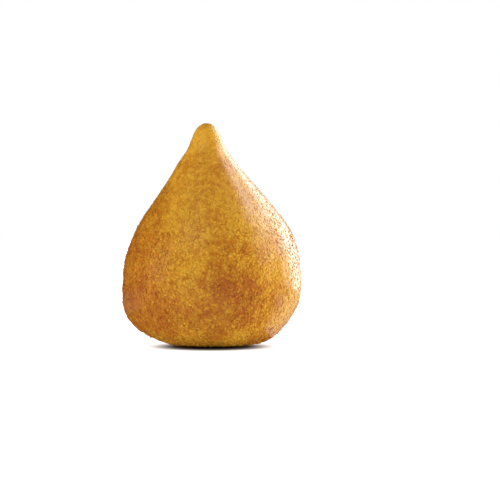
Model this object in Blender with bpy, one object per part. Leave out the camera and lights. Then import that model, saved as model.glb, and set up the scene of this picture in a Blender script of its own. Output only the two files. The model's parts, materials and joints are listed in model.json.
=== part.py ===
"""A coxinha: a crumbed and fried drop of dough, as one closed solid that stands on its flat base.

A drop profile is turned, leaned and pressed out of true as by hand, and meshed evenly. The relief of
the crumb coat is then raised on it, and its largest crumbs are fused on by one union.
Units are metres, +Z is up, the origin is the middle of the base, and the front is towards -Y.
"""

import math
import random

import bmesh
import bpy
from mathutils import Euler, Matrix, Vector, noise
from mathutils.bvhtree import BVHTree
from mathutils.geometry import interpolate_bezier

MM = 0.001

# Sizes over the crumbs
HEIGHT = 78.8 * MM
WIDTH = 63.4 * MM
DEPTH = 62.0 * MM

# The drop's profile, from its resting base to the tip of its nub
BASE_RADIUS = 10.5 * MM
BELLY_RADIUS = 31.5 * MM
BELLY_HEIGHT = 23.0 * MM
FLANK_RADIUS = 24.2 * MM
FLANK_HEIGHT = 45.9 * MM
FLANK_SLOPE = -0.67
NECK_RADIUS = 10.1 * MM
NECK_HEIGHT = 64.9 * MM
NECK_SLOPE = -0.72
NUB_RADIUS = 5.2 * MM
NUB_HEIGHT = 73.6 * MM
NUB_SLOPE = -0.34

# How far the curve's handles reach from those points
HEEL_REACH = 11.6 * MM
BELLY_REACH_DOWN = 14.2 * MM
BELLY_REACH_UP = 10.0 * MM
FLANK_REACH = 6.4 * MM
NECK_REACH = 3.4 * MM
NUB_REACH_UP = 2.9 * MM
TIP_REACH = 2.7 * MM
POINTS_TO_A_CURVE = 10
TURN_STEPS = 96

# The pinched nub leans to the left and a little forwards
LEAN_START = 46.0 * MM
LEAN_END = 69.0 * MM
LEAN = Vector((-2.1, -0.6, 0.0)) * MM

# Places where the hand has pressed the drop in or left it full:
# bearing in degrees from +X, height, spread and amount
PRESSES = (
    (180, 9.5 * MM, 7.5 * MM, 0.9 * MM),
    (0, 9.0 * MM, 7.0 * MM, -1.3 * MM),
    (5, 38.0 * MM, 9.0 * MM, 0.55 * MM),
    (172, 56.0 * MM, 9.0 * MM, -0.25 * MM),
    (180, 69.0 * MM, 2.4 * MM, 0.5 * MM),
    (190, 2.6 * MM, 5.0 * MM, -1.6 * MM),
    (250, 14.0 * MM, 9.0 * MM, -0.5 * MM),
    (295, 40.0 * MM, 11.0 * MM, 0.4 * MM),
    (225, 36.0 * MM, 9.0 * MM, -0.4 * MM),
    (120, 12.0 * MM, 9.0 * MM, 0.6 * MM),
    (75, 30.0 * MM, 12.0 * MM, -0.7 * MM),
    (40, 50.0 * MM, 8.0 * MM, -0.5 * MM),
    (140, 62.0 * MM, 6.0 * MM, 0.5 * MM),
)

# The even mesh, and the relief that is raised on it: size across and height of each kind of bump
MESH_SPACING = 2.4 * MM
RELIEF = (
    (14.0 * MM, 0.30 * MM),
    (5.6 * MM, 0.42 * MM),
    (3.2 * MM, 0.44 * MM),
)
BASE_KEEP = 1.0 * MM
BASE_FADE = 4.0 * MM

# The largest crumbs, which stand proud of the coat
CRUMB_COUNT = 155
CRUMB_SMALLEST = 1.3 * MM
CRUMB_LARGEST = 2.3 * MM
CRUMB_THICKNESS = 0.62
CRUMB_NARROWEST = 0.75
CRUMB_UNEVENNESS = 0.16
CRUMB_TILT = math.radians(23)
CRUMB_SUNK = 0.10
CRUMB_LOWEST = 4.5 * MM
CRUMB_RAYS_FROM = 33.0 * MM
CRUMB_SEED = 11
GOLDEN_ANGLE = math.pi * (3 - math.sqrt(5))

CRUST_COLOUR = (0.55, 0.235, 0.032, 1.0)
CRUST_ROUGHNESS = 0.6


def remove_all_objects():
    for obj in list(bpy.data.objects):
        bpy.data.objects.remove(obj, do_unlink=True)


def knot(radius, height, slope, reach_down, reach_up):
    """A point of the profile with its two handles, which lie along the slope of radius over height."""
    point = Vector((radius, 0, height))
    along = Vector((slope, 0, 1)).normalized()
    return point - along * reach_down, point, point + along * reach_up


def profile_points():
    """The drop's half outline, from the middle of the base, round the belly and up to the tip."""
    base_edge = Vector((BASE_RADIUS, 0, 0))
    tip = Vector((0, 0, HEIGHT))
    knots = [
        (base_edge, base_edge, base_edge + Vector((HEEL_REACH, 0, 0))),
        knot(BELLY_RADIUS, BELLY_HEIGHT, 0, BELLY_REACH_DOWN, BELLY_REACH_UP),
        knot(FLANK_RADIUS, FLANK_HEIGHT, FLANK_SLOPE, FLANK_REACH, FLANK_REACH),
        knot(NECK_RADIUS, NECK_HEIGHT, NECK_SLOPE, FLANK_REACH, NECK_REACH),
        knot(NUB_RADIUS, NUB_HEIGHT, NUB_SLOPE, NECK_REACH, NUB_REACH_UP),
        (tip + Vector((TIP_REACH, 0, 0)), tip, tip),
    ]
    points = [Vector((0, 0, 0)), base_edge]
    for (_, start, leaving), (arriving, end, _) in zip(knots, knots[1:]):
        points += interpolate_bezier(start, leaving, arriving, end, POINTS_TO_A_CURVE)[1:]
    return points


def turned_drop():
    """The profile turned once round the Z axis, as a closed mesh."""
    bm = bmesh.new()
    verts = [bm.verts.new(p) for p in profile_points()]
    edges = [bm.edges.new(pair) for pair in zip(verts, verts[1:])]
    bmesh.ops.spin(
        bm,
        geom=verts + edges,
        cent=(0, 0, 0),
        axis=(0, 0, 1),
        angle=math.tau,
        steps=TURN_STEPS,
        use_merge=True,
    )
    bmesh.ops.remove_doubles(bm, verts=bm.verts[:], dist=0.00001)
    bmesh.ops.recalc_face_normals(bm, faces=bm.faces[:])
    mesh = bpy.data.meshes.new("coxinha")
    bm.to_mesh(mesh)
    bm.free()
    return mesh


def smoothstep(value, start, end):
    share = min(max((value - start) / (end - start), 0.0), 1.0)
    return share * share * (3 - 2 * share)


def press_at(point):
    """How far the hand has left this point of the drop proud, or pressed it in."""
    amount = 0.0
    bearing = math.atan2(point.y, point.x)
    radius = math.hypot(point.x, point.y)
    for degrees, height, spread, depth in PRESSES:
        turn = math.remainder(bearing - math.radians(degrees), math.tau)
        away = math.hypot(turn * radius, point.z - height) / spread
        amount += depth * math.exp(-away * away)
    return amount


def shape_by_hand(mesh):
    """Presses the turned drop out of true, makes it a little shallower than it is wide and leans its nub."""
    for vert in mesh.vertices:
        co = vert.co.copy()
        outwards = Vector((co.x, co.y, 0))
        if outwards.length > 0:
            off_base = smoothstep(co.z, 0, BASE_FADE)
            co += outwards.normalized() * press_at(co) * off_base
        co.y *= DEPTH / WIDTH
        vert.co = co + LEAN * smoothstep(co.z, LEAN_START, LEAN_END)


def even_mesh(obj):
    """Remeshes the drop in even cells, so that its relief is as fine at the belly as at the nub."""
    remesh = obj.modifiers.new("even_mesh", "REMESH")
    remesh.mode = "VOXEL"
    remesh.voxel_size = MESH_SPACING
    bpy.context.view_layer.objects.active = obj
    bpy.ops.object.modifier_apply(modifier=remesh.name)


def raise_relief(mesh):
    """Moves each point along its normal by the coat's bumps, which fade out towards the flat base."""
    moves = []
    for vert in mesh.vertices:
        height = sum(
            amount * noise.noise(vert.co / across * 2, noise_basis="PERLIN_ORIGINAL")
            for across, amount in RELIEF
        )
        above = smoothstep(vert.co.z, BASE_KEEP, BASE_FADE)
        moves.append(vert.normal * height * above)
    for vert, move in zip(mesh.vertices, moves):
        vert.co += move


def lay_base_flat(mesh):
    """Sets the lowest points on one plane, at height 0."""
    lowest = min(vert.co.z for vert in mesh.vertices)
    for vert in mesh.vertices:
        vert.co.z -= lowest
        if vert.co.z < BASE_KEEP / 2:
            vert.co.z = 0.0


def set_size(mesh):
    """Centres the drop on the Z axis and gives it its width, depth and height."""
    xs, ys, zs = ([vert.co[axis] for vert in mesh.vertices] for axis in range(3))
    middle = Vector(((max(xs) + min(xs)) / 2, (max(ys) + min(ys)) / 2, 0))
    scale = Matrix.Diagonal(
        (WIDTH / (max(xs) - min(xs)), DEPTH / (max(ys) - min(ys)), HEIGHT / max(zs), 1)
    )
    mesh.transform(scale @ Matrix.Translation(-middle))


def crumb_places(mesh):
    """Points and outward directions spread evenly over the drop, by turns of the golden angle."""
    surface = BVHTree.FromPolygons(
        [vert.co for vert in mesh.vertices], [face.vertices for face in mesh.polygons]
    )
    middle = Vector((0, 0, CRUMB_RAYS_FROM))
    places = []
    for i in range(CRUMB_COUNT):
        rise = 1 - 2 * (i + 0.5) / CRUMB_COUNT
        ring = math.sqrt(1 - rise * rise)
        ray = Vector((ring * math.cos(i * GOLDEN_ANGLE), ring * math.sin(i * GOLDEN_ANGLE), rise))
        point, normal, _, _ = surface.ray_cast(middle + ray * HEIGHT, -ray)
        if point and point.z > CRUMB_LOWEST:
            places.append((point, normal))
    return places


def crumb(name, point, normal, draw):
    """One flattened, uneven grain, part sunk in the coat."""
    size = CRUMB_SMALLEST + (CRUMB_LARGEST - CRUMB_SMALLEST) * draw.random() ** 2
    bm = bmesh.new()
    bmesh.ops.create_icosphere(bm, subdivisions=1, radius=size / 2)
    for vert in bm.verts:
        vert.co *= 1 + CRUMB_UNEVENNESS * draw.uniform(-1, 1)
    narrowing = draw.uniform(CRUMB_NARROWEST, 1)
    bmesh.ops.scale(bm, vec=(1, narrowing, CRUMB_THICKNESS), verts=bm.verts[:])
    mesh = bpy.data.meshes.new(name)
    bm.to_mesh(mesh)
    bm.free()
    tilts = [draw.uniform(-CRUMB_TILT, CRUMB_TILT) for _ in range(2)]
    turn = Euler((tilts[0], tilts[1], draw.uniform(0, math.tau)))
    facing = normal.to_track_quat("Z", "Y").to_matrix() @ turn.to_matrix()
    obj = bpy.data.objects.new(name, mesh)
    obj.matrix_world = Matrix.Translation(point - normal * size * CRUMB_SUNK) @ facing.to_4x4()
    return obj


def fuse_crumbs(drop):
    """Unites the drop with its largest crumbs, and removes the loose crumbs."""
    draw = random.Random(CRUMB_SEED)
    crumbs = bpy.data.collections.new("crumbs")
    bpy.context.scene.collection.children.link(crumbs)
    for i, (point, normal) in enumerate(crumb_places(drop.data)):
        crumbs.objects.link(crumb(f"crumb_{i}", point, normal, draw))
    union = drop.modifiers.new("fuse_crumbs", "BOOLEAN")
    union.operation = "UNION"
    union.operand_type = "COLLECTION"
    union.collection = crumbs
    union.solver = "EXACT"
    bpy.context.view_layer.update()
    bpy.context.view_layer.objects.active = drop
    bpy.ops.object.modifier_apply(modifier=union.name)
    for obj in list(crumbs.objects):
        bpy.data.objects.remove(obj, do_unlink=True)
    bpy.data.collections.remove(crumbs)


def crust_material():
    """Golden, dry-looking fried crumb with a faint sheen of oil."""
    material = bpy.data.materials.new("fried_crust")
    material.use_nodes = True
    shader = material.node_tree.nodes["Principled BSDF"]
    shader.inputs["Base Color"].default_value = CRUST_COLOUR
    shader.inputs["Roughness"].default_value = CRUST_ROUGHNESS
    shader.inputs["Metallic"].default_value = 0.0
    material.diffuse_color = CRUST_COLOUR
    return material


def build_coxinha():
    mesh = turned_drop()
    shape_by_hand(mesh)
    drop = bpy.data.objects.new("coxinha", mesh)
    bpy.context.scene.collection.objects.link(drop)
    even_mesh(drop)
    raise_relief(drop.data)
    lay_base_flat(drop.data)
    fuse_crumbs(drop)
    set_size(drop.data)
    drop.data.materials.clear()
    drop.data.materials.append(crust_material())
    drop.data.shade_smooth()


remove_all_objects()
build_coxinha()
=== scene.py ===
"""A fried coxinha: its crumbed crust, the crumbs that stand proud of it, and a white studio."""

import json
import math

import bpy
from bpy.props import FloatProperty, FloatVectorProperty, IntProperty, PointerProperty
from bpy.types import Operator, Panel, PropertyGroup
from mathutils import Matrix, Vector
from mathutils.geometry import interpolate_bezier

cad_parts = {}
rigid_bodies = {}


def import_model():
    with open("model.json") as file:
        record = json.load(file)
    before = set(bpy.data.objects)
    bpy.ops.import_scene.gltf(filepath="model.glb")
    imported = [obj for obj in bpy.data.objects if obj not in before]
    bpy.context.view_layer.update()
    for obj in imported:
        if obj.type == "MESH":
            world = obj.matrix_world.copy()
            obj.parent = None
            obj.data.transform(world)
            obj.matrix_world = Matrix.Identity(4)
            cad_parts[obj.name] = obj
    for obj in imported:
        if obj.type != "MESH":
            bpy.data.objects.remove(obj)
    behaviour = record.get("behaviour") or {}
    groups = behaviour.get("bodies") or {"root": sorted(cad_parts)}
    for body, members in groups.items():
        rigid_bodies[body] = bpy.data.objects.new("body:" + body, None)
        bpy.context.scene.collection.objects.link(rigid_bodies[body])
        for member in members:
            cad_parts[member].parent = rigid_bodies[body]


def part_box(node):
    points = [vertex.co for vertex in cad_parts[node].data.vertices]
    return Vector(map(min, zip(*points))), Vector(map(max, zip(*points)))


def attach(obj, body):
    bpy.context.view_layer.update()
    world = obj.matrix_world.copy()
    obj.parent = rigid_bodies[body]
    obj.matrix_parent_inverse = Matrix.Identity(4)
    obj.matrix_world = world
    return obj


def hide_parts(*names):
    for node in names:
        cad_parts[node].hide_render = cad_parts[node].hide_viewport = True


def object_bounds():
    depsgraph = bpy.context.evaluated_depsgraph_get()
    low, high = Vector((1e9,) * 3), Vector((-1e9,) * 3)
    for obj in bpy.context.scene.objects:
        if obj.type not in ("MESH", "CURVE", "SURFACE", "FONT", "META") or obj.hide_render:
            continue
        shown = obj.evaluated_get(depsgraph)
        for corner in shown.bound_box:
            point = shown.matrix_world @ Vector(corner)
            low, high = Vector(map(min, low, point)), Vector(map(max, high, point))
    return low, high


bl_info = {
    "name": "Coxinha",
    "version": (1, 0, 0),
    "blender": (4, 5, 0),
    "location": "View3D > Sidebar > Coxinha",
    "description": "Models a fried coxinha with its crumb coat, in a white studio",
    "category": "Object",
}

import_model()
cad_low, cad_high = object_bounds()
drop_low, drop_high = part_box("coxinha")

MM = 0.001

# The name of each piece's own map
MAP = "OFBake"

# The bare drop's profile, from its resting base to the tip of its nub:
# radius, height, slope of radius over height, and the curve handles' reach down and up
DROP_PROFILE = (
    (10.5, 0.0, None, 0.0, 11.6),
    (31.3, 23.0, 0.0, 14.2, 10.0),
    (24.0, 45.9, -0.67, 6.4, 6.4),
    (9.9, 64.9, -0.72, 6.4, 3.4),
    (5.0, 73.6, -0.34, 3.4, 2.9),
    (0.0, 78.5, None, 2.2, 0.0),
)
RINGS_TO_A_CURVE = 9
RING_SIDES = 64

# The nub leans over between these heights
LEAN_START = 46.0 * MM
LEAN_END = 69.0 * MM

# The bare drop stays this far under the solid's tip, and passes its belly by this much, so that
# its raised coat comes out at the solid's size
TIP_ROOM = 0.2 * MM
BELLY_SPARE = 0.1 * MM

# Where the hand has pressed the drop in or left it full:
# bearing in degrees from +X, height, reach and amount, in millimetres
HAND_PRESSES = (
    (180, 8.0, 16.0, 2.0),
    (0, 6.5, 11.0, -0.3),
    (0, 2.5, 8.0, 0.9),
    (0, 20.0, 14.0, 0.9),
    (5, 38.0, 18.0, 1.0),
    (172, 56.0, 18.0, -0.5),
    (180, 40.0, 14.0, -0.4),
    (180, 69.5, 4.5, -0.4),
    (190, 1.5, 7.0, -2.4),
    (250, 14.0, 18.0, -0.5),
    (295, 40.0, 22.0, 0.4),
    (225, 36.0, 18.0, -0.4),
    (120, 12.0, 18.0, 0.6),
    (75, 30.0, 24.0, -0.7),
    (40, 50.0, 16.0, -0.5),
    (140, 62.0, 12.0, 0.5),
)

# The crust's map: the sharpest turn inside a patch, and the room between patches
PATCH_ANGLE = math.radians(66)
PATCH_MARGIN = 0.004

# The dough's soft lumps: their width, and their share of the lump height
LUMPS = ((15 * MM, 1.0), (6 * MM, 0.55), (3 * MM, 0.35))

# The coat starts a little over the base, which stays flat to stand on
COAT_START = 0.25 * MM
COAT_FULL = 2.5 * MM

# Crumbs get finer between these heights, from full size on the belly to a share of it on the nub
FINER_START = 34 * MM
FINER_END = 62 * MM
NUB_CRUMB_SHARE = 0.5

# A bedded crumb's dome, in crumb sizes from its middle: where it ends and where it is full;
# then the lowest dome's share of the crumb height
DOME_EDGE = 0.62
DOME_TOP = 0.12
LOWEST_DOME = 0.35

# How wide the waves of a bedded crumb's uneven edge are, and how far they reach in crumb sizes
WOBBLE_WIDTH = 0.9 * MM
WOBBLE_REACH = 0.5

# Coarse grit over the bedded crumbs, with its share of the crumb height
GRIT_WIDTH = 0.9 * MM
GRIT_SHARE = 0.4

# The height between pits and tops, from 0 to 1, that stays level with the bare drop
LEVEL_RELIEF = 0.45

# The crumbs that stand proud of the coat: name, smallest and largest width in millimetres,
# and what the darkest and the palest of them add to the browning
CRUMB_KINDS = (
    ("golden_crumbs", 0.75, 1.6, 0.13, -0.09),
    ("pale_crumbs", 0.6, 1.2, 0.02, -0.22),
    ("browned_crumbs", 0.65, 1.6, 0.36, 0.12),
)

# The grains that they are copied from: width, depth and height, as shares of the largest width
GRAINS = ((1.0, 0.74, 0.46), (1.0, 0.81, 0.52), (1.0, 0.88, 0.46), (1.0, 0.95, 0.52))
GRAIN_RADIUS = 0.5 * MM
GRAIN_UNEVENNESS = 0.09 * MM

# How far a crumb leans, in radians, how deep its middle is sunk, and how high the lowest are
CRUMB_TILT = 0.35
CRUMB_SINK = 0.03 * MM
CRUMBS_FROM = 1.0 * MM

# Each crumb has a cell of the map: cells for each crumb, and the margin inside a cell
CELLS_TO_A_CRUMB = 1.1
CELL_MARGIN = 0.1

# The browning, from 0, pale, through golden to 1, browned: what the whole coat has, and what it
# gains or loses along an axis, as the axis, its start and end in millimetres and the amount. What
# is gained or lost along an axis is painted shade and light: darker towards the bottom and on the
# left side, where less light falls, and paler at the tip of the nub, where more light falls
BROWNING = 0.05
PAINTED_LIGHT_AND_SHADE_ALONG = (
    ("Z", 48, 6, 0.17),
    ("Z", 60, 76, -0.2),
    ("X", -12, -34, 0.44),
)
GOLDEN_AT = 0.42

# Cloudy browning: the clouds' width, the range of their noise, and what its ends take and add
CLOUD_WIDTH = 13 * MM
CLOUD_RANGE = (0.35, 0.75)
CLOUD_BROWNING = (-0.12, 0.26)

# Places that are more browned than the rest, or less, and places of painted shade and painted
# light: their middle, reach and amount, with lengths in millimetres
BROWNED_AND_PAINTED_LIGHT_SPOTS = (
    # the browned patch on the right of the belly, and the paler places beside it
    (9.0, -28.6, 21.5, 8.0, 0.24),
    (3.0, -29.6, 21.0, 8.0, 0.26),
    (12.5, -27.2, 18.0, 8.0, 0.4),
    (12.5, -26.0, 12.5, 7.0, 0.26),
    (3.0, -29.7, 28.0, 8.0, 0.34),
    (5.5, -29.3, 35.5, 7.0, 0.3),
    (10.6, -28.0, 33.5, 5.0, 0.18),
    (-2.0, -29.0, 37.5, 6.0, -0.22),
    (-4.2, -30.0, 28.7, 7.0, -0.14),
    # darker round the front of the heel, and on the left shoulder: painted shade, where less light
    # falls
    (0.5, -27.0, 10.5, 9.0, 0.26),
    (-11.0, -25.5, 13.0, 11.0, 0.26),
    (-15.0, -19.0, 7.0, 9.0, 0.22),
    (-26.0, -16.0, 21.0, 7.0, 0.18),
    (-20.0, -20.0, 38.5, 9.0, 0.2),
    # paler on the right, from the nub down to the heel: painted light, for the sheen and the lit
    # rim, and to lift the shade by the base
    (-3.0, -5.0, 73.0, 12.0, -0.28),
    (10.0, -19.0, 54.0, 11.0, -0.18),
    (18.0, -22.5, 43.0, 10.0, -0.24),
    (23.5, -20.5, 27.0, 12.0, -0.45),
    (29.0, -10.0, 19.0, 10.0, -0.5),
    (24.0, -13.0, 11.0, 11.0, -0.5),
    (16.5, -19.5, 5.5, 6.0, -0.4),
    (9.0, -21.0, 3.5, 9.0, -0.44),
    # browned on the back
    (12.0, 24.0, 30.0, 12.0, 0.2),
    (-18.0, 20.0, 16.0, 10.0, 0.16),
)

# The noise that makes their edges ragged: its width, and twice the furthest that it pushes them
RAGGED_WIDTH = 5 * MM
RAGGED_REACH = 16 * MM

# Specks from crumb to crumb: their width, the range of their noise, and what its ends add
SPECK_WIDTH = 2.0 * MM
SPECK_RANGE = (0.3, 0.7)
SPECK_BROWNING = (-0.2, 0.2)

# Painted shade in the pits between the bedded crumbs, and painted light on their tops, added to the
# browning
PIT_PAINTED_SHADE = 0.27
TOP_PAINTED_LIGHT = -0.03

# The finish's fine grit, as a bump, and the crumbs' own weak gloss under the oil
FINE_GRIT_WIDTH = 0.45 * MM
FINE_GRIT_HEIGHT = 0.15 * MM
FINE_GRIT_STRENGTH = 0.06
CRUMB_SPECULAR = 0.15

# The photograph's frame, and where the coxinha stands in it, in pixels
PHOTO_SIZE = 500
OUTLINE_LEFT = 122.2
OUTLINE_RIGHT = 301.7
OUTLINE_TOP = 122.7
OUTLINE_BOTTOM = 349.5

# The front edge of the base, nearer and seen from above, shows this much lower than its middle
FRONT_EDGE_DROP = 0.73 * MM
SENSOR_WIDTH = 36.0

# White cards on the floor, behind the object to its right and left: name, middle, size and power
FLOOR_CARDS = (
    ("right_card", (0.063, 0.05), (0.082, 0.13), 0.036),
    ("left_card", (-0.1, 0.08), (0.1, 0.2), 0.015),
)
CARD_HEIGHT = 2 * MM

FLOOR_SIZE = 6.0
FLOOR_ROUGHNESS = 0.9
FLOOR_SPECULAR = 0.1

# The floor gives light of its own beyond a ring round the base, so that it stays pure white to its
# edge, and it lights the underside from beyond a smaller ring. Within the outer ring its colour
# darkens and the camera sees none of its own light: a painted contact shadow, shaped by the ring.
# The rings' middle lies a little in front of the object's
GLOW_START = 0.0125
GLOW_END = 0.027
GLOW_FORWARD = 0.005
# How white the floor's colour stays at the base, in its painted contact shadow
PAINTED_SHADOW_WHITE = 0.15
FILL_START = 0.009
FILL_END = 0.017
FLOOR_FILL = 0.6

# Softboxes: azimuth from the camera's side, positive to its right, and elevation in degrees,
# size in metres, power in watts, and whether each gives the even light or the sheen
SOFTBOXES = (
    ("right_fill", 85, 3, 0.45, 7.8, "fill"),
    ("high_left_fill", -35, 50, 0.5, 0.95, "fill"),
    ("left_fill", -75, 10, 0.5, 4.25, "fill"),
    ("back_low_sheen", 140, 5, 0.35, 2.5, "sheen"),
    ("back_middle_sheen", 140, 25, 0.35, 1.7, "sheen"),
    ("far_back_sheen", 160, 25, 0.35, 0.95, "sheen"),
    ("side_low_sheen", 120, 5, 0.35, 1.2, "sheen"),
    ("side_middle_sheen", 120, 25, 0.35, 0.9, "sheen"),
    ("side_high_sheen", 120, 45, 0.35, 0.95, "sheen"),
    ("right_middle_sheen", 100, 25, 0.35, 0.65, "sheen"),
    ("right_high_sheen", 100, 45, 0.35, 1.0, "sheen"),
    ("front_right_sheen", 80, 25, 0.35, 0.6, "sheen"),
    ("front_left_sheen", -35, 40, 0.5, 0.2, "sheen"),
)
SOFTBOX_DISTANCE = 0.85


class CoxinhaDropSettings(PropertyGroup):
    """Sizes of the drop under its crumbs"""

    height: FloatProperty(
        name="Height",
        description="Height of the drop, from its base to the tip of its nub",
        default=drop_high.z - TIP_ROOM,
        unit="LENGTH",
    )
    width: FloatProperty(
        name="Width",
        description="Width of the belly, under its crumbs",
        default=drop_high.x - drop_low.x + BELLY_SPARE,
        unit="LENGTH",
    )
    depth: FloatProperty(
        name="Depth",
        description="Depth of the belly, front to back, under its crumbs",
        default=drop_high.y - drop_low.y + BELLY_SPARE,
        unit="LENGTH",
    )
    lean: FloatProperty(
        name="Lean",
        description="How far the nub leans to the left",
        default=1.7 * MM,
        unit="LENGTH",
    )
    lean_forward: FloatProperty(
        name="Lean forward",
        description="How far the nub leans to the front",
        default=0.6 * MM,
        unit="LENGTH",
    )
    mesh_spacing: FloatProperty(
        name="Mesh spacing",
        description="Size of the crust's even mesh cells",
        default=0.465 * MM,
        min=0.45 * MM,
        precision=5,
        unit="LENGTH",
    )


class CoxinhaCoatSettings(PropertyGroup):
    """Sizes of the crumb coat"""

    lump_height: FloatProperty(
        name="Lump height",
        description="Height of the dough's soft unevenness",
        default=0.5 * MM,
        precision=5,
        unit="LENGTH",
    )
    crumb_size: FloatProperty(
        name="Crumb size",
        description="Width of the crumbs that are bedded in the coat",
        default=1.4 * MM,
        precision=5,
        unit="LENGTH",
    )
    crumb_height: FloatProperty(
        name="Crumb height",
        description="How far the bedded crumbs rise above the pits between them",
        default=0.3 * MM,
        precision=5,
        unit="LENGTH",
    )
    loose_count: IntProperty(
        name="Crumbs of each kind",
        description="How many crumbs of each kind stand proud of the coat",
        default=7900,
        max=9900,
    )
    seed: IntProperty(name="Seed", description="Changes the crumbs' places", default=7)


class CoxinhaColourSettings(PropertyGroup):
    """Colours of the fried coat, which also paint its shade and light"""

    golden: FloatVectorProperty(
        name="Golden",
        description="Colour of the evenly fried coat",
        default=(0.505, 0.191, 0.005),
        subtype="COLOR",
        size=3,
    )
    pale: FloatVectorProperty(
        name="Pale",
        description="Colour of the least fried crumbs",
        default=(0.66, 0.328, 0.018),
        subtype="COLOR",
        size=3,
    )
    browned: FloatVectorProperty(
        name="Browned",
        description="Colour of the most fried places",
        default=(0.38, 0.092, 0.004),
        subtype="COLOR",
        size=3,
    )
    roughness: FloatProperty(
        name="Roughness",
        description="Roughness of the oily crumbs",
        default=0.6,
        min=0.0,
        max=1.0,
        subtype="FACTOR",
    )
    oil: FloatProperty(
        name="Oil",
        description="Weight of the thin oil film over the crumbs",
        default=0.9,
        min=0.0,
        max=1.0,
        subtype="FACTOR",
    )
    oil_roughness: FloatProperty(
        name="Oil roughness",
        description="Roughness of the oil film",
        default=0.22,
        min=0.0,
        max=1.0,
        subtype="FACTOR",
    )


class CoxinhaStudioSettings(PropertyGroup):
    """The camera and the softboxes"""

    lens: FloatProperty(
        name="Lens", description="Focal length in millimetres", default=120.0
    )
    elevation: FloatProperty(
        name="Elevation",
        description="How far the camera looks down",
        default=math.radians(1.0),
        subtype="ANGLE",
    )
    sky: FloatProperty(
        name="Sky", description="Strength of the even white light from all round", default=0.555
    )
    floor_white: FloatProperty(
        name="Floor", description="How much light the white floor gives back", default=0.8
    )


def look_only_at(obj):
    """Deselects everything but one object, and makes that active."""
    if bpy.context.object and bpy.context.object.mode != "OBJECT":
        bpy.ops.object.mode_set(mode="OBJECT")
    bpy.ops.object.select_all(action="DESELECT")
    if obj:
        obj.select_set(True)
        bpy.context.view_layer.objects.active = obj


def apply_modifier(obj, modifier):
    """Makes what a modifier does part of the mesh."""
    look_only_at(obj)
    bpy.ops.object.modifier_apply(modifier=modifier.name)


def smoothstep(value, start, end):
    """How far a value has come from start to end, eased at both, from 0 to 1."""
    share = min(max((value - start) / (end - start), 0.0), 1.0)
    return share * share * (3 - 2 * share)


# Node helpers


def add_node(tree, kind, label="", links=None, values=None, **settings):
    """A node with its settings, its inputs' values and its incoming links."""
    node = tree.nodes.new(kind)
    node.label = label
    for key, value in settings.items():
        setattr(node, key, value)
    for key, value in (values or {}).items():
        node.inputs[key].default_value = value
    for key, socket in (links or {}).items():
        tree.links.new(socket, node.inputs[key])
    return node


def maths(tree, operation, a, b=0.0, clamp=False):
    """The output of one maths step on two sockets or numbers."""
    node = tree.nodes.new("ShaderNodeMath")
    node.operation = operation
    node.use_clamp = clamp
    for socket, value in zip(node.inputs, (a, b)):
        if isinstance(value, (int, float)):
            socket.default_value = value
        else:
            tree.links.new(value, socket)
    return node.outputs[0]


def ranged(tree, value, low, high, to_low=0.0, to_high=1.0):
    """A socket's value, eased from one range to another."""
    node = add_node(
        tree,
        "ShaderNodeMapRange",
        links={"Value": value},
        values={"From Min": low, "From Max": high, "To Min": to_low, "To Max": to_high},
        interpolation_type="SMOOTHSTEP",
    )
    return node.outputs["Result"]


def vector_maths(tree, operation, a, b=None, scale=None):
    """The output of one vector maths step on two sockets or vectors, or of a socket's scaling."""
    node = tree.nodes.new("ShaderNodeVectorMath")
    node.operation = operation
    for key, value in ((0, a), (1, b), ("Scale", scale)):
        if isinstance(value, bpy.types.NodeSocket):
            tree.links.new(value, node.inputs[key])
        elif value is not None:
            node.inputs[key].default_value = value
    return node.outputs["Value" if operation == "DISTANCE" else "Vector"]


def split(tree, vector):
    """A vector's X, Y and Z, as sockets."""
    return add_node(tree, "ShaderNodeSeparateXYZ", links={"Vector": vector}).outputs


def noise(tree, place, width, detail, roughness=0.5, label=""):
    """The outputs of a noise whose blobs are so wide."""
    node = add_node(
        tree,
        "ShaderNodeTexNoise",
        label,
        links={"Vector": place},
        values={"Scale": 1 / width, "Detail": detail, "Roughness": roughness},
    )
    return node.outputs


def position(tree):
    """Where each point is, in a geometry tree."""
    return add_node(tree, "GeometryNodeInputPosition").outputs["Position"]


def moved(tree, geometry, offset):
    """Points that are shifted by their own offsets."""
    node = add_node(
        tree, "GeometryNodeSetPosition", links={"Geometry": geometry, "Offset": offset}
    )
    return node.outputs["Geometry"]


def stored(tree, geometry, name, value, data_type="FLOAT", domain="POINT"):
    """The geometry with a value kept on it under a name."""
    node = add_node(
        tree,
        "GeometryNodeStoreNamedAttribute",
        links={"Geometry": geometry, "Value": value},
        values={"Name": name},
        data_type=data_type,
        domain=domain,
    )
    return node.outputs["Geometry"]


def kept(tree, name, data_type="FLOAT"):
    """The value that was kept under a name."""
    node = add_node(
        tree, "GeometryNodeInputNamedAttribute", values={"Name": name}, data_type=data_type
    )
    return node.outputs["Attribute"]


def by_chance(tree, low, high, seed):
    """A number by chance for each point."""
    # inputs 2 and 3 are the range of a number, after those of a vector
    node = add_node(
        tree,
        "FunctionNodeRandomValue",
        values={2: low, 3: high, "Seed": seed},
        data_type="FLOAT",
    )
    return node.outputs[1]


def new_geometry_tree(name):
    """An empty tree with its geometry's way in and way out."""
    tree = bpy.data.node_groups.new(name, "GeometryNodeTree")
    tree.interface.new_socket(name="Geometry", in_out="INPUT", socket_type="NodeSocketGeometry")
    tree.interface.new_socket(name="Geometry", in_out="OUTPUT", socket_type="NodeSocketGeometry")
    entry = tree.nodes.new("NodeGroupInput")
    leave = tree.nodes.new("NodeGroupOutput")
    return tree, entry, leave


def apply_tree(obj, tree):
    """Runs a geometry tree on an object and makes the result its mesh."""
    modifier = obj.modifiers.new(tree.name, "NODES")
    modifier.node_group = tree
    apply_modifier(obj, modifier)


# The crust


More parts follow.
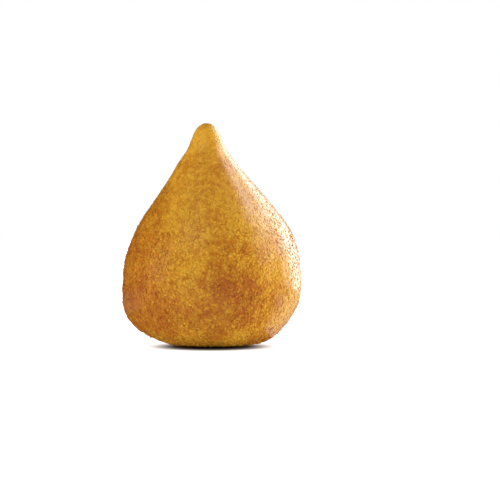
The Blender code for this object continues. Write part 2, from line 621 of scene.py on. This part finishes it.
def profile_rings():
    """Radius and height of each ring of the drop, from its base to its tip."""
    knots = []
    for radius, height, slope, down, up in DROP_PROFILE:
        point = Vector((radius, 0, height))
        along = Vector((slope, 0, 1)).normalized() if slope is not None else Vector((1, 0, 0))
        knots.append((point - along * down, point, point + along * up))
    first, last = knots[0], knots[-1]
    knots[-1] = (last[1] + (last[1] - last[0]), last[1], last[1])
    rings = [first[1]]
    for (_, start, leaving), (arriving, end, _) in zip(knots, knots[1:]):
        rings += interpolate_bezier(start, leaving, arriving, end, RINGS_TO_A_CURVE)[1:]
    return [(ring.x * MM, ring.z * MM) for ring in rings]


def draw_rings(sizes):
    """Extrudes the drop upwards from a disc, ring by ring, and closes it at the tip of the nub."""
    rings = profile_rings()
    top = rings[-1][1]
    radius, height = rings[0]
    lean = Vector((-sizes.lean, -sizes.lean_forward, 0))
    look_only_at(None)
    bpy.ops.mesh.primitive_circle_add(
        vertices=RING_SIDES, radius=radius, fill_type="NGON", location=(0, 0, 0)
    )
    crust = bpy.context.object
    crust.name = "crust"
    bpy.ops.object.mode_set(mode="EDIT")
    bpy.ops.mesh.select_all(action="SELECT")
    for next_radius, next_height in rings[1:-1]:
        leaned = lean * smoothstep(next_height, LEAN_START, LEAN_END)
        step = leaned - lean * smoothstep(height, LEAN_START, LEAN_END)
        step.z = next_height - height
        bpy.ops.mesh.extrude_region_move(TRANSFORM_OT_translate={"value": step})
        share = next_radius / radius
        bpy.ops.transform.resize(
            value=(share, share, 1), center_override=(leaned.x, leaned.y, next_height)
        )
        radius, height = next_radius, next_height
    bpy.ops.mesh.extrude_region_move(TRANSFORM_OT_translate={"value": (0, 0, top - height)})
    bpy.ops.mesh.merge(type="CENTER")
    bpy.ops.mesh.select_all(action="SELECT")
    bpy.ops.mesh.normals_make_consistent(inside=False)
    bpy.ops.object.mode_set(mode="OBJECT")
    return crust


def press_by_hand(crust):
    """Pushes and pulls single points with a soft reach, as fingers do, and sets the drop down."""
    mesh = crust.data
    for degrees, height, reach, amount in HAND_PRESSES:
        bearing = math.radians(degrees)
        outwards = Vector((math.cos(bearing), math.sin(bearing), 0))
        side = [v for v in mesh.vertices if v.co.xy.dot(outwards.xy) > 0]
        near = min(
            side,
            key=lambda v: abs(v.co.z - height * MM) + abs(v.co.xy.cross(outwards.xy)),
        )
        chosen = near.index
        look_only_at(crust)
        bpy.ops.object.mode_set(mode="EDIT")
        bpy.ops.mesh.select_all(action="DESELECT")
        bpy.ops.object.mode_set(mode="OBJECT")
        mesh.vertices[chosen].select = True
        bpy.ops.object.mode_set(mode="EDIT")
        bpy.ops.transform.translate(
            value=outwards * amount * MM,
            use_proportional_edit=True,
            proportional_edit_falloff="SMOOTH",
            proportional_size=reach * MM,
        )
        bpy.ops.object.mode_set(mode="OBJECT")
    lowest = min(v.co.z for v in mesh.vertices)
    for vert in mesh.vertices:
        vert.co.z -= lowest


def fit_to_size(crust, sizes):
    """Brings the drop to its width, depth and height over the middle of its base."""
    low = [min(v.co[axis] for v in crust.data.vertices) for axis in range(3)]
    high = [max(v.co[axis] for v in crust.data.vertices) for axis in range(3)]
    look_only_at(crust)
    bpy.ops.object.mode_set(mode="EDIT")
    bpy.ops.mesh.select_all(action="SELECT")
    bpy.ops.transform.translate(value=(-(low[0] + high[0]) / 2, -(low[1] + high[1]) / 2, 0))
    bpy.ops.transform.resize(
        value=(
            sizes.width / (high[0] - low[0]),
            sizes.depth / (high[1] - low[1]),
            sizes.height / high[2],
        ),
        center_override=(0, 0, 0),
    )
    bpy.ops.object.mode_set(mode="OBJECT")


def even_mesh(crust, spacing):
    """Rounds the drop and gives it an even mesh, fine enough for its crumbs."""
    rounded = crust.modifiers.new("rounded", "SUBSURF")
    rounded.levels = 1
    rounded.render_levels = 1
    apply_modifier(crust, rounded)
    even = crust.modifiers.new("even", "REMESH")
    even.mode = "VOXEL"
    even.voxel_size = spacing
    even.use_smooth_shade = True
    apply_modifier(crust, even)


def unwrap(crust):
    """Lays the crust's map out in a few large patches, before its crumbs are raised."""
    look_only_at(crust)
    bpy.ops.object.mode_set(mode="EDIT")
    bpy.ops.mesh.select_all(action="SELECT")
    bpy.ops.uv.smart_project(angle_limit=PATCH_ANGLE, island_margin=PATCH_MARGIN)
    bpy.ops.object.mode_set(mode="OBJECT")
    crust.data.uv_layers.active.name = MAP


def noise_height(tree, width, height):
    """Soft bumps that are so wide and so high, as a socket."""
    bumps = noise(tree, position(tree), width, detail=2.0)["Fac"]
    return maths(tree, "MULTIPLY", maths(tree, "SUBTRACT", bumps, 0.5), height)


def finer_upwards(tree, height):
    """The crumbs' size as a share: full on the belly, and finer towards the nub."""
    return ranged(tree, height, FINER_START, FINER_END, 1.0, NUB_CRUMB_SHARE)


def bedded_relief(tree, crumb_size):
    """How high each point of the bedded crumbs stands, from 0 in the pits to 1 on the tops."""
    place = position(tree)
    wobble = noise(tree, place, WOBBLE_WIDTH, detail=1.0, label="uneven crumb edges")["Color"]
    pushed = vector_maths(tree, "SCALE", wobble, scale=WOBBLE_REACH * crumb_size)
    cells = add_node(
        tree,
        "ShaderNodeTexVoronoi",
        "bedded crumbs",
        links={"Vector": vector_maths(tree, "ADD", place, pushed)},
        values={"Scale": 1 / crumb_size, "Randomness": 1.0},
    )
    dome = ranged(tree, cells.outputs["Distance"], DOME_EDGE, DOME_TOP)
    chance = split(tree, cells.outputs["Color"])["X"]
    tall = ranged(tree, chance, 0.0, 1.0, LOWEST_DOME, 1.0)
    crumb = maths(tree, "MULTIPLY", dome, tall)
    return maths(tree, "ADD", crumb, noise_height(tree, GRIT_WIDTH, GRIT_SHARE), clamp=True)


def coat_tree(coat):
    """Raises the dough's soft lumps and the bedded crumbs, and keeps how high each point stands."""
    tree, entry, leave = new_geometry_tree("crumb_coat")
    relief = bedded_relief(tree, coat.crumb_size)
    above_pits = maths(tree, "SUBTRACT", relief, LEVEL_RELIEF)
    rise = maths(tree, "MULTIPLY", above_pits, coat.crumb_height)
    height = split(tree, position(tree))["Z"]
    rise = maths(tree, "MULTIPLY", rise, finer_upwards(tree, height))
    for width, share in LUMPS:
        rise = maths(tree, "ADD", rise, noise_height(tree, width, coat.lump_height * share))
    rise = maths(tree, "MULTIPLY", rise, ranged(tree, height, COAT_START, COAT_FULL))
    normal = add_node(tree, "GeometryNodeInputNormal").outputs["Normal"]
    coated = stored(tree, entry.outputs[0], "relief", relief)
    coated = stored(tree, coated, "drop_normal", normal, data_type="FLOAT_VECTOR")
    coated = moved(tree, coated, vector_maths(tree, "SCALE", normal, scale=rise))
    tree.links.new(coated, leave.inputs[0])
    return tree


# Finishes


def browning_and_painted_light_mask(tree, place):
    """How browned each point is: in clouds and at the browned spots, with painted shade and light
    by height and side and at the painted spots.
    """
    along = split(tree, place)
    total = BROWNING
    # painted shade towards the bottom and on the left, and painted light at the tip of the nub
    for axis, start, end, amount in PAINTED_LIGHT_AND_SHADE_ALONG:
        gained = ranged(tree, along[axis], start * MM, end * MM, 0.0, amount)
        total = maths(tree, "ADD", total, gained)
    clouds = noise(tree, place, CLOUD_WIDTH, 4.0, roughness=0.65, label="cloudy browning")
    cloudy = ranged(tree, clouds["Fac"], *CLOUD_RANGE, *CLOUD_BROWNING)
    total = maths(tree, "ADD", total, cloudy)
    ragged = noise(tree, place, RAGGED_WIDTH, 3.0, roughness=0.7, label="ragged edges")
    shift = vector_maths(tree, "SUBTRACT", ragged["Color"], (0.5, 0.5, 0.5))
    shift = vector_maths(tree, "SCALE", shift, scale=RAGGED_REACH)
    shifted = vector_maths(tree, "ADD", place, shift)
    # the browned patch, and the spots of painted shade and painted light
    for *middle, reach, amount in BROWNED_AND_PAINTED_LIGHT_SPOTS:
        away = vector_maths(tree, "DISTANCE", shifted, Vector(middle) * MM)
        total = maths(tree, "ADD", total, ranged(tree, away, reach * MM, 0, 0.0, amount))
    return total


def fried_and_painted_light_finish(name, colours, tint_attribute, tint_low, tint_high):
    """A crumb finish with clouds and specks of browning, painted shade and light, fine grit and a
    thin film of oil.
    """
    material = bpy.data.materials.new(name)
    material.use_nodes = True
    tree = material.node_tree
    shader = tree.nodes["Principled BSDF"]
    place = add_node(tree, "ShaderNodeTexCoord").outputs["Object"]
    tint = add_node(tree, "ShaderNodeAttribute", attribute_name=tint_attribute).outputs["Fac"]
    darker = ranged(tree, tint, 0.0, 1.0, tint_low, tint_high)
    # the browning with its painted shade and light; on the crust the tint adds painted shade in the
    # pits and painted light on the tops
    fried = maths(tree, "ADD", browning_and_painted_light_mask(tree, place), darker)
    specks = noise(tree, place, SPECK_WIDTH, 3.0, roughness=0.6, label="specks")["Fac"]
    speckled = ranged(tree, specks, *SPECK_RANGE, *SPECK_BROWNING)
    fried = maths(tree, "ADD", fried, speckled, clamp=True)
    ramp = add_node(tree, "ShaderNodeValToRGB", "pale to browned", links={"Fac": fried})
    stops = ramp.color_ramp.elements
    stops[0].position, stops[0].color = 0.0, (*colours.pale, 1)
    stops[1].position, stops[1].color = 1.0, (*colours.browned, 1)
    stops.new(GOLDEN_AT).color = (*colours.golden, 1)
    tree.links.new(ramp.outputs["Color"], shader.inputs["Base Color"])
    grit = noise(tree, place, FINE_GRIT_WIDTH, 2.0, roughness=0.6, label="fine grit")["Fac"]
    bump = add_node(
        tree,
        "ShaderNodeBump",
        links={"Height": grit},
        values={"Strength": FINE_GRIT_STRENGTH, "Distance": FINE_GRIT_HEIGHT},
    )
    tree.links.new(bump.outputs["Normal"], shader.inputs["Normal"])
    shader.inputs["Roughness"].default_value = colours.roughness
    shader.inputs["Specular IOR Level"].default_value = CRUMB_SPECULAR
    # The oil lies more evenly than the crumbs, so its gloss follows the drop under them
    drop_normal = add_node(tree, "ShaderNodeAttribute", attribute_name="drop_normal")
    evened = vector_maths(tree, "NORMALIZE", drop_normal.outputs["Vector"])
    tree.links.new(evened, shader.inputs["Coat Normal"])
    shader.inputs["Coat Weight"].default_value = colours.oil
    shader.inputs["Coat Roughness"].default_value = colours.oil_roughness
    return material


class COXINHA_OT_crust(Operator):
    """Models the drop, raises its crumb coat and gives it its fried finish, with painted shade and
    light
    """

    bl_idname = "coxinha.crust"
    bl_label = "Crust"

    def execute(self, context):
        sizes = context.scene.coxinha_drop
        colours = context.scene.coxinha_colours
        crust = draw_rings(sizes)
        press_by_hand(crust)
        fit_to_size(crust, sizes)
        even_mesh(crust, sizes.mesh_spacing)
        unwrap(crust)
        apply_tree(crust, coat_tree(context.scene.coxinha_coat))
        crust.data.materials.append(
            # the crust's relief paints shade into the pits between the bedded crumbs and light on
            # their tops
            fried_and_painted_light_finish("fried_coat", colours, "relief", PIT_PAINTED_SHADE, TOP_PAINTED_LIGHT)
        )
        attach(crust, "root")
        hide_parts("coxinha")
        return {"FINISHED"}


# The proud crumbs


def crumb_grains(kind, finish):
    """A few uneven grains, one millimetre across, that the crumbs of a kind are copied from."""
    grains = bpy.data.collections.new(f"{kind}_grains")
    bpy.context.scene.collection.children.link(grains)
    for i, shares in enumerate(GRAINS):
        look_only_at(None)
        bpy.ops.mesh.primitive_ico_sphere_add(
            subdivisions=1, radius=GRAIN_RADIUS, location=(0, 0, 0)
        )
        grain = bpy.context.object
        grain.name = f"{kind}_grain_{i}"
        bpy.ops.object.mode_set(mode="EDIT")
        bpy.ops.mesh.select_all(action="SELECT")
        bpy.ops.transform.resize(value=shares)
        bpy.ops.transform.vertex_random(offset=GRAIN_UNEVENNESS, seed=i + 1)
        bpy.ops.object.mode_set(mode="OBJECT")
        bpy.ops.object.shade_smooth()
        grain.data.uv_layers.active.name = MAP
        grain.data.materials.append(finish)
        for home in list(grain.users_collection):
            home.objects.unlink(grain)
        grains.objects.link(grain)
    return grains


def crumb_places(tree, crust, height, count, seed):
    """Points scattered over the crust, part sunk and clear of its base, and how each is turned."""
    ground = add_node(tree, "GeometryNodeObjectInfo", values={"Object": crust})
    area = sum(face.area for face in crust.data.polygons)
    points = add_node(
        tree,
        "GeometryNodeDistributePointsOnFaces",
        links={
            "Mesh": ground.outputs["Geometry"],
            "Selection": maths(tree, "GREATER_THAN", height, CRUMBS_FROM),
        },
        values={"Density": count / area, "Seed": seed},
        distribute_method="RANDOM",
    )
    sunk = vector_maths(tree, "SCALE", points.outputs["Normal"], scale=-CRUMB_SINK)
    chance = add_node(
        tree,
        "FunctionNodeRandomValue",
        values={
            "Min": (-CRUMB_TILT, -CRUMB_TILT, 0.0),
            "Max": (CRUMB_TILT, CRUMB_TILT, math.tau),
            "Seed": seed + 1,
        },
        data_type="FLOAT_VECTOR",
    )
    turn = add_node(
        tree, "FunctionNodeEulerToRotation", links={"Euler": chance.outputs["Value"]}
    )
    turned = add_node(
        tree,
        "FunctionNodeRotateRotation",
        links={"Rotation": points.outputs["Rotation"], "Rotate By": turn.outputs["Rotation"]},
        rotation_space="LOCAL",
    )
    return moved(tree, points.outputs["Points"], sunk), turned.outputs["Rotation"]


def map_cells(tree, crumbs, count):
    """Lays each crumb's own map in a cell of the joined map, row by row."""
    row_length = math.ceil(math.sqrt(count * CELLS_TO_A_CRUMB))
    cell = maths(tree, "ROUND", kept(tree, "cell"))
    row = maths(tree, "FLOOR", maths(tree, "DIVIDE", maths(tree, "ADD", cell, 0.5), row_length))
    column = maths(tree, "SUBTRACT", cell, maths(tree, "MULTIPLY", row, row_length))
    own = split(tree, kept(tree, MAP, "FLOAT_VECTOR"))
    places = {}
    for axis, start in (("X", column), ("Y", row)):
        inside = maths(tree, "MULTIPLY", own[axis], 1 - 2 * CELL_MARGIN)
        inside = maths(tree, "ADD", inside, CELL_MARGIN)
        places[axis] = maths(tree, "DIVIDE", maths(tree, "ADD", start, inside), row_length)
    place = add_node(tree, "ShaderNodeCombineXYZ", links=places).outputs["Vector"]
    return stored(tree, crumbs, MAP, place, data_type="FLOAT2", domain="CORNER")


def scatter_tree(name, crust, grains, count, smallest, largest, seed):
    """Sets crumbs on the crust, each turned, sized and tinted by chance, with its own map cell."""
    tree, _, leave = new_geometry_tree(name)
    height = split(tree, position(tree))["Z"]
    points, turned = crumb_places(tree, crust, height, count, seed)
    size = by_chance(tree, smallest, largest, seed + 2)
    shapes = add_node(
        tree,
        "GeometryNodeCollectionInfo",
        values={"Collection": grains, "Separate Children": True, "Reset Children": True},
    )
    crumbs = add_node(
        tree,
        "GeometryNodeInstanceOnPoints",
        links={
            "Points": points,
            "Instance": shapes.outputs["Instances"],
            "Rotation": turned,
            "Scale": maths(tree, "MULTIPLY", size, finer_upwards(tree, height)),
        },
        values={"Pick Instance": True},
    ).outputs["Instances"]
    crumbs = stored(tree, crumbs, "tint", by_chance(tree, 0.0, 1.0, seed + 3), domain="INSTANCE")
    index = add_node(tree, "GeometryNodeInputIndex").outputs["Index"]
    crumbs = stored(tree, crumbs, "cell", index, domain="INSTANCE")
    joined = add_node(tree, "GeometryNodeRealizeInstances", links={"Geometry": crumbs})
    mapped = map_cells(tree, joined.outputs["Geometry"], count)
    tree.links.new(mapped, leave.inputs[0])
    return tree


class COXINHA_OT_crumbs(Operator):
    """Scatters the crumbs that stand proud of the coat, as one piece for each kind"""

    bl_idname = "coxinha.crumbs"
    bl_label = "Crumbs"

    def execute(self, context):
        coat = context.scene.coxinha_coat
        colours = context.scene.coxinha_colours
        crust = context.scene.objects["crust"]
        for i, (name, smallest, largest, most, least) in enumerate(CRUMB_KINDS):
            grains = crumb_grains(
                name, fried_and_painted_light_finish(f"fried_{name}", colours, "tint", most, least)
            )
            look_only_at(None)
            bpy.ops.mesh.primitive_plane_add(size=1 * MM, location=(0, 0, 0))
            piece = bpy.context.object
            piece.name = name
            seed = coat.seed + 10 * i
            tree = scatter_tree(name, crust, grains, coat.loose_count, smallest, largest, seed)
            apply_tree(piece, tree)
            if len(piece.data.polygons) < coat.loose_count:
                raise RuntimeError(f"{name} has too few crumbs")
            piece.data.attributes.remove(piece.data.attributes["cell"])
            for grain in list(grains.objects):
                bpy.data.objects.remove(grain, do_unlink=True)
            bpy.data.collections.remove(grains)
            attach(piece, "root")
        return {"FINISHED"}


# The studio


def hidden_light(name, watts):
    """An area light that the camera doesn't see."""
    data = bpy.data.lights.new(name, "AREA")
    data.energy = watts
    lamp = bpy.data.objects.new(name, data)
    bpy.context.scene.collection.objects.link(lamp)
    lamp.visible_camera = False
    return lamp


def softbox(name, azimuth, elevation, size, watts, use):
    """A square light aimed at the coxinha's middle, for the even light or for the sheen alone."""
    turn, rise = math.radians(azimuth), math.radians(elevation)
    level = math.cos(rise)
    away = Vector((math.sin(turn) * level, -math.cos(turn) * level, math.sin(rise)))
    box = hidden_light(name, watts)
    box.data.size = size
    middle = Vector((0, 0, (cad_low.z + cad_high.z) / 2))
    box.location = middle + away * SOFTBOX_DISTANCE
    box.rotation_mode = "QUATERNION"
    box.rotation_quaternion = (-away).to_track_quat("-Z", "Y")
    box.visible_glossy = use == "sheen"
    box.visible_diffuse = use == "fill"


def floor_card(name, middle, size, watts):
    """A white card flat on the floor, that gives the underside its sheen."""
    card = hidden_light(name, watts)
    card.data.shape = "RECTANGLE"
    card.data.size, card.data.size_y = size
    card.location = (*middle, CARD_HEIGHT)
    card.rotation_euler = (math.pi, 0, 0)
    card.visible_diffuse = False


def white_sky(strength):
    """Even white light from all round, seen as pure white behind the object."""
    world = bpy.data.worlds.new("white_sky")
    bpy.context.scene.world = world
    world.use_nodes = True
    tree = world.node_tree
    tree.nodes.clear()
    seen = add_node(tree, "ShaderNodeLightPath").outputs["Is Camera Ray"]
    sky = add_node(
        tree,
        "ShaderNodeBackground",
        links={"Strength": maths(tree, "MAXIMUM", seen, strength)},
        values={"Color": (1, 1, 1, 1)},
    )
    leave = add_node(tree, "ShaderNodeOutputWorld")
    tree.links.new(sky.outputs["Background"], leave.inputs["Surface"])
    world.cycles_visibility.glossy = False


def white_floor(white):
    """A matt white floor that stays white to its edge, with a painted contact shadow at the base.
    """
    look_only_at(None)
    bpy.ops.mesh.primitive_plane_add(size=FLOOR_SIZE, location=(0, 0, 0))
    floor = bpy.context.object
    floor.name = "floor"
    material = bpy.data.materials.new("white_floor")
    material.use_nodes = True
    tree = material.node_tree
    shader = tree.nodes["Principled BSDF"]
    shader.inputs["Roughness"].default_value = FLOOR_ROUGHNESS
    shader.inputs["Specular IOR Level"].default_value = FLOOR_SPECULAR
    shader.inputs["Emission Color"].default_value = (1, 1, 1, 1)
    place = add_node(tree, "ShaderNodeTexCoord").outputs["Object"]
    away = vector_maths(tree, "DISTANCE", place, (0, -GLOW_FORWARD, 0))
    # painted contact shadow: the floor's colour darkens towards the base
    paler = ranged(tree, away, GLOW_START, GLOW_END, PAINTED_SHADOW_WHITE, white)
    tree.links.new(paler, shader.inputs["Base Color"])
    seen = add_node(tree, "ShaderNodeLightPath").outputs
    # within the ring the camera sees none of the floor's own light, which keeps the painted contact
    # shadow dark
    glow = ranged(tree, away, GLOW_START, GLOW_END)
    glow = maths(tree, "MULTIPLY", glow, seen["Is Camera Ray"])
    fill = ranged(tree, away, FILL_START, FILL_END)
    lifted = maths(tree, "MULTIPLY", seen["Is Diffuse Ray"], FLOOR_FILL)
    fill = maths(tree, "MULTIPLY", fill, lifted)
    tree.links.new(maths(tree, "ADD", glow, fill), shader.inputs["Emission Strength"])
    floor.data.materials.append(material)
    floor.visible_glossy = False


def photo_camera(studio):
    """A nearly level camera, aimed so that the object stands where it does in the photograph."""
    metres_per_pixel = (cad_high.x - cad_low.x) / (OUTLINE_RIGHT - OUTLINE_LEFT)
    right = PHOTO_SIZE / 2 - (OUTLINE_LEFT + OUTLINE_RIGHT) / 2
    down = PHOTO_SIZE / 2 - (OUTLINE_TOP + OUTLINE_BOTTOM) / 2
    middle = (cad_low.z + cad_high.z) / 2 - FRONT_EDGE_DROP
    aim = Vector((right * metres_per_pixel, 0, middle - down * metres_per_pixel))
    data = bpy.data.cameras.new("camera")
    data.lens = studio.lens
    data.sensor_width = SENSOR_WIDTH
    data.clip_start = 0.01
    data.clip_end = 20.0
    away = metres_per_pixel * PHOTO_SIZE * data.lens / data.sensor_width
    camera = bpy.data.objects.new("camera", data)
    bpy.context.scene.collection.objects.link(camera)
    back = Vector((0, -math.cos(studio.elevation), math.sin(studio.elevation)))
    camera.location = aim + back * away
    camera.rotation_mode = "QUATERNION"
    camera.rotation_quaternion = (-back).to_track_quat("-Z", "Y")
    bpy.context.scene.camera = camera


class COXINHA_OT_studio(Operator):
    """Sets the white floor and sky, the softboxes and the camera"""

    bl_idname = "coxinha.studio"
    bl_label = "Studio"

    def execute(self, context):
        studio = context.scene.coxinha_studio
        context.scene.view_settings.view_transform = "Standard"
        white_sky(studio.sky)
        white_floor(studio.floor_white)
        for lamp in SOFTBOXES:
            softbox(*lamp)
        for card in FLOOR_CARDS:
            floor_card(*card)
        photo_camera(studio)
        return {"FINISHED"}


class COXINHA_PT_sidebar(Panel):
    """The coxinha's sizes and colours, and a button for each of its pieces"""

    bl_idname = "COXINHA_PT_sidebar"
    bl_label = "Coxinha"
    bl_space_type = "VIEW_3D"
    bl_region_type = "UI"
    bl_category = "Coxinha"

    def draw(self, context):
        layout = self.layout
        scene = context.scene
        for title, settings, operator in (
            ("Crust", scene.coxinha_drop, COXINHA_OT_crust),
            ("Crumbs", scene.coxinha_coat, COXINHA_OT_crumbs),
            ("Studio", scene.coxinha_studio, COXINHA_OT_studio),
        ):
            box = layout.box()
            box.label(text=title)
            for name in settings.__annotations__:
                box.prop(settings, name)
            box.operator(operator.bl_idname)
        colours = layout.box()
        colours.label(text="Colours")
        for name in CoxinhaColourSettings.__annotations__:
            colours.prop(scene.coxinha_colours, name)


CLASSES = (
    CoxinhaDropSettings,
    CoxinhaCoatSettings,
    CoxinhaColourSettings,
    CoxinhaStudioSettings,
    COXINHA_OT_crust,
    COXINHA_OT_crumbs,
    COXINHA_OT_studio,
    COXINHA_PT_sidebar,
)


def register():
    for cls in CLASSES:
        bpy.utils.register_class(cls)
    bpy.types.Scene.coxinha_drop = PointerProperty(type=CoxinhaDropSettings)
    bpy.types.Scene.coxinha_coat = PointerProperty(type=CoxinhaCoatSettings)
    bpy.types.Scene.coxinha_colours = PointerProperty(type=CoxinhaColourSettings)
    bpy.types.Scene.coxinha_studio = PointerProperty(type=CoxinhaStudioSettings)


def unregister():
    del bpy.types.Scene.coxinha_studio
    del bpy.types.Scene.coxinha_colours
    del bpy.types.Scene.coxinha_coat
    del bpy.types.Scene.coxinha_drop
    for cls in reversed(CLASSES):
        bpy.utils.unregister_class(cls)


def main():
    register()
    bpy.ops.coxinha.crust()
    bpy.ops.coxinha.crumbs()
    bpy.ops.coxinha.studio()


if __name__ == "__main__":
    main()
